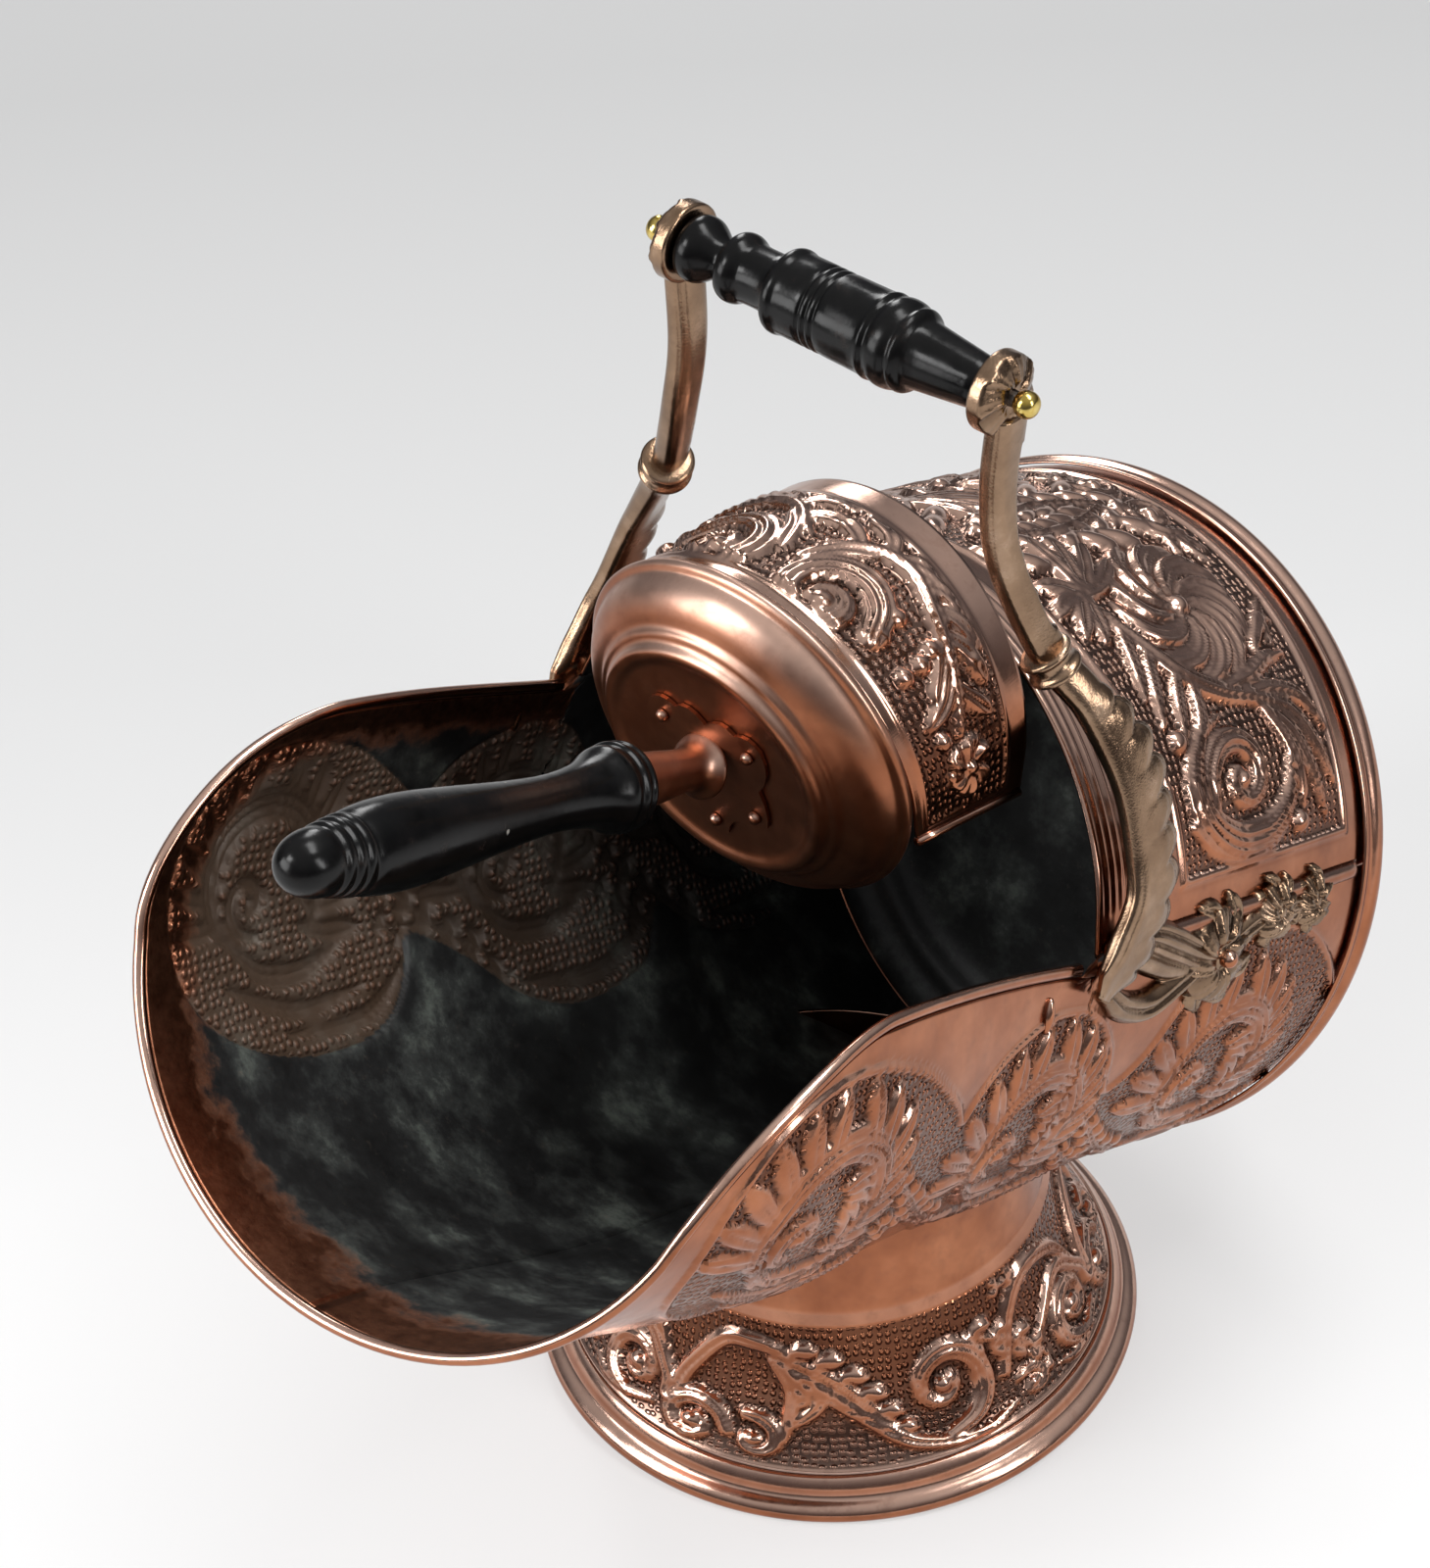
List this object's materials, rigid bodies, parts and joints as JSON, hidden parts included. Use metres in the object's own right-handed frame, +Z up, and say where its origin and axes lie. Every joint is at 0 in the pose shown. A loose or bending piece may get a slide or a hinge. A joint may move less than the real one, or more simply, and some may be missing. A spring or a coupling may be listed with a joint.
{
  "type": "coal scuttle",
  "caption": "Embossed copper helmet coal scuttle on a flared foot, with a hood, turned carrying grip on cast arms, back bow handle and a matching coal shovel.",
  "frame": {"origin": "on the floor, under the middle of the object's length and width", "axes": "+Z up, the mouth opens towards -Y, +X is the scuttle's right side seen from its back"},
  "size_m": [0.291, 0.5114, 0.5129],
  "materials": {
    "copper": "polished raised copper sheet with dark reflections",
    "bronze": "cast brassy bronze, polished on the high places",
    "bright_brass": "bright polished brass",
    "rod_steel": "plain iron rod",
    "ebonised_wood": "ebonised turned wood, glossy, with a few chips"
  },
  "bodies": {
    "scuttle": {"foot_base_ring": "copper", "foot_bell": "copper", "body_lower": "copper", "mouth_rim_wire": "copper", "side_bead_right": "copper", "side_bead_left": "copper", "hood": "copper", "seam_bead_right": "copper", "seam_bead_left": "copper", "back_ring": "copper", "back_dish": "copper", "back_bow_handle": "bronze", "arm_right": "bronze", "arm_left": "bronze", "arm_rivet_right": "copper", "arm_rivet_left": "copper", "grip_rod": "rod_steel", "ball_nut_right": "bright_brass", "ball_nut_left": "bright_brass"},
    "grip": {"grip": "ebonised_wood"},
    "shovel": {"shovel_end_disc": "copper", "shovel_pan": "copper", "shovel_edge_bead_right": "copper", "shovel_edge_bead_left": "copper", "shovel_plate": "copper", "shovel_rivet_upper_left": "copper", "shovel_rivet_upper_right": "copper", "shovel_rivet_lower_left": "copper", "shovel_rivet_lower_right": "copper", "shovel_rivet_bottom": "copper", "shovel_socket": "copper", "shovel_handle": "ebonised_wood"}
  },
  "joints": [
    {"name": "grip_turn", "type": "hinge", "parent": "scuttle", "child": "grip", "pos_m": [0, 0.05038, 0.496], "axis": [1, 0, 0], "continuous": true},
    {"name": "shovel_lift", "type": "slide", "parent": "scuttle", "child": "shovel", "axis": [0, -0.9063, 0.4226], "range_m": [0, 0.45]}
  ]
}
